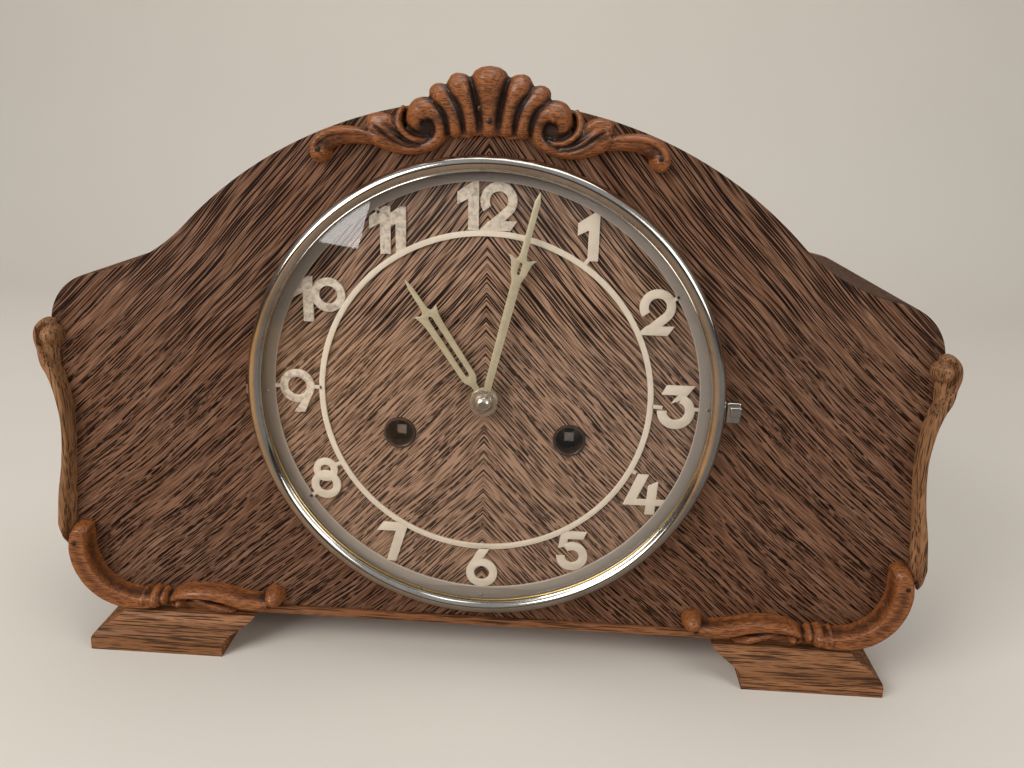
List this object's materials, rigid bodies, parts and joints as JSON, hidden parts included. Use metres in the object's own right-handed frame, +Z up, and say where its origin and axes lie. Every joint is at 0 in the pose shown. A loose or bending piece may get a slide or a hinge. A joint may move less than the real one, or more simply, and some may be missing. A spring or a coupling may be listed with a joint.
{
  "type": "pendulum mantel clock",
  "caption": "Oak-veneered striking mantel clock with carved ornaments, a pierced numeral ring under a hinged domed glass, and a pendulum movement.",
  "frame": {"origin": "on the table under the middle of the clock's width and depth", "axes": "+X to the viewer's right along the clock's width, +Y from the dial to the back, +Z up"},
  "size_m": [0.3928, 0.1604, 0.2624],
  "materials": {
    "veneer": "satin varnish over book-matched oak veneer",
    "oak": "dark stained oak, satin",
    "carved_wood": "stained and varnished carving",
    "plywood": "plain plywood",
    "chrome": "bright plating",
    "silvered_dial": "worn matt silvering",
    "dark_steel": "dark oxidised",
    "gilt": "pale gilt",
    "glass": "clear, domed",
    "brass": "rolled brass",
    "steel": "bright steel",
    "iron": "painted casting"
  },
  "bodies": {
    "case": {"front_panel": "veneer", "case_band": "oak", "bottom_board": "oak", "foot_right": "oak", "foot_left": "oak", "side_moulding_right": "oak", "side_moulding_left": "oak", "corner_carving_right": "carved_wood", "corner_carving_left": "carved_wood", "crest_carving": "carved_wood", "back_panel": "plywood", "chapter_ring": "silvered_dial", "winding_grommet_left": "dark_steel", "winding_grommet_right": "dark_steel", "front_plate": "brass", "back_plate": "brass", "pillar_nut_upper_right": "brass", "pillar_nut_upper_left": "brass", "pillar_nut_lower_left": "brass", "pillar_nut_lower_right": "brass", "suspension_post": "brass", "door_hinge_frame_leaf": "brass", "bezel_hinge_leaf": "steel", "gong_rod_front": "steel", "gong_rod_back": "steel", "gong_block": "iron"},
    "bezel_door": {"bezel_ring": "chrome", "bezel_glass": "glass", "glass_retainer": "brass", "bezel_tab": "chrome"},
    "rear_door": {"back_door": "plywood", "door_hinge_leaf": "brass", "door_knob": "brass"},
    "minute": {"cannon_pinion": "steel", "minute_hand": "gilt", "hand_nut": "gilt"},
    "hour": {"hour_wheel": "brass", "hour_hand": "gilt"},
    "minute_wheel": {"minute_wheel": "brass"},
    "centre": {"centre_arbor": "steel", "centre_wheel": "brass"},
    "second": {"second_wheel": "brass"},
    "third": {"third_wheel": "brass"},
    "escape": {"escape_wheel": "brass"},
    "going_barrel": {"going_barrel": "brass"},
    "strike_barrel": {"strike_barrel": "brass"},
    "pin_wheel": {"pin_wheel": "brass"},
    "warning_wheel": {"warning_wheel": "brass"},
    "fly": {"fly": "brass"},
    "winding_arbor_right": {"winding_arbor_right": "steel"},
    "winding_arbor_left": {"winding_arbor_left": "steel"},
    "click_right": {"click_right": "steel"},
    "click_left": {"click_left": "steel"},
    "hammer": {"hammer": "steel"},
    "anchor": {"anchor": "steel"},
    "pendulum": {"suspension_spring": "steel", "pendulum_rod": "steel", "pendulum_bob": "brass", "rating_nut": "brass"}
  },
  "joints": [
    {"name": "bezel_hinge", "type": "hinge", "parent": "case", "child": "bezel_door", "pos_m": [-0.1029, -0.0624, 0.128], "axis": [0, 0, -1], "range_deg": [0, 105]},
    {"name": "rear_door_hinge", "type": "hinge", "parent": "case", "child": "rear_door", "pos_m": [0.0953, 0.0709, 0.112], "axis": [0, 0, -1], "range_deg": [0, 110]},
    {"name": "minute_turn", "type": "hinge", "parent": "case", "child": "minute", "pos_m": [0, -0.0608, 0.128], "axis": [0, 1, 0], "continuous": true},
    {"name": "hour_turn", "type": "hinge", "parent": "case", "child": "hour", "pos_m": [0, -0.0608, 0.128], "axis": [0, 1, 0], "continuous": true},
    {"name": "minute_wheel_turn", "type": "hinge", "parent": "case", "child": "minute_wheel", "pos_m": [0, -0.045, 0.1099], "axis": [0, 1, 0], "continuous": true},
    {"name": "escape_turn", "type": "hinge", "parent": "case", "child": "escape", "pos_m": [0, -0.025, 0.16128], "axis": [0, 1, 0], "continuous": true},
    {"name": "third_turn", "type": "hinge", "parent": "case", "child": "third", "pos_m": [-0.0067, -0.025, 0.14642], "axis": [0, 1, 0], "continuous": true},
    {"name": "centre_turn", "type": "hinge", "parent": "case", "child": "centre", "pos_m": [0, -0.025, 0.128], "axis": [0, 1, 0], "continuous": true},
    {"name": "second_turn", "type": "hinge", "parent": "case", "child": "second", "pos_m": [0.01966, -0.025, 0.13582], "axis": [0, 1, 0], "continuous": true},
    {"name": "going_barrel_turn", "type": "hinge", "parent": "case", "child": "going_barrel", "pos_m": [0.0369, -0.025, 0.1106], "axis": [0, 1, 0], "continuous": true},
    {"name": "fly_turn", "type": "hinge", "parent": "case", "child": "fly", "pos_m": [-0.03133, -0.025, 0.16923], "axis": [0, 1, 0], "continuous": true},
    {"name": "warning_turn", "type": "hinge", "parent": "case", "child": "warning_wheel", "pos_m": [-0.0286, -0.025, 0.15371], "axis": [0, 1, 0], "continuous": true},
    {"name": "pin_turn", "type": "hinge", "parent": "case", "child": "pin_wheel", "pos_m": [-0.04481, -0.025, 0.14011], "axis": [0, 1, 0], "continuous": true},
    {"name": "strike_barrel_turn", "type": "hinge", "parent": "case", "child": "strike_barrel", "pos_m": [-0.0369, -0.025, 0.1106], "axis": [0, 1, 0], "continuous": true},
    {"name": "wind_right", "type": "hinge", "parent": "case", "child": "winding_arbor_right", "pos_m": [0.0369, -0.04, 0.1106], "axis": [0, 1, 0], "range_deg": [0, 2160]},
    {"name": "wind_left", "type": "hinge", "parent": "case", "child": "winding_arbor_left", "pos_m": [-0.0369, -0.04, 0.1106], "axis": [0, 1, 0], "range_deg": [0, 2160]},
    {"name": "click_right_turn", "type": "hinge", "parent": "case", "child": "click_right", "pos_m": [0.048, -0.0453, 0.119], "axis": [0, -1, 0], "range_deg": [0, 12], "stiffness_Nm_per_rad": 0.01, "springref_deg": -1.15},
    {"name": "click_left_turn", "type": "hinge", "parent": "case", "child": "click_left", "pos_m": [-0.048, -0.0453, 0.1022], "axis": [0, -1, 0], "range_deg": [0, 12], "stiffness_Nm_per_rad": 0.01, "springref_deg": -1.15},
    {"name": "hammer_lift", "type": "hinge", "parent": "case", "child": "hammer", "pos_m": [-0.064, -0.025, 0.13], "axis": [0, 1, 0], "range_deg": [0, 10]},
    {"name": "pendulum_swing", "type": "hinge", "parent": "case", "child": "pendulum", "pos_m": [0, 0.0022, 0.17728], "axis": [0, 1, 0], "range_deg": [-4, 4]},
    {"name": "anchor_rock", "type": "hinge", "parent": "case", "child": "anchor", "pos_m": [0, -0.025, 0.17728], "axis": [0, 1, 0], "range_deg": [-4, 4]}
  ],
  "couplings": [
    {"joint": "hour_turn", "follows": "minute_turn", "ratio": 0.083333},
    {"joint": "minute_wheel_turn", "follows": "minute_turn", "ratio": -0.33333},
    {"joint": "third_turn", "follows": "escape_turn", "ratio": -0.090909},
    {"joint": "centre_turn", "follows": "escape_turn", "ratio": 0.0075758},
    {"joint": "second_turn", "follows": "escape_turn", "ratio": -0.0015152},
    {"joint": "going_barrel_turn", "follows": "escape_turn", "ratio": 0.00025253},
    {"joint": "warning_turn", "follows": "fly_turn", "ratio": -0.125},
    {"joint": "pin_turn", "follows": "fly_turn", "ratio": 0.025},
    {"joint": "strike_barrel_turn", "follows": "fly_turn", "ratio": -0.0041667},
    {"joint": "anchor_rock", "follows": "pendulum_swing", "ratio": 1}
  ]
}
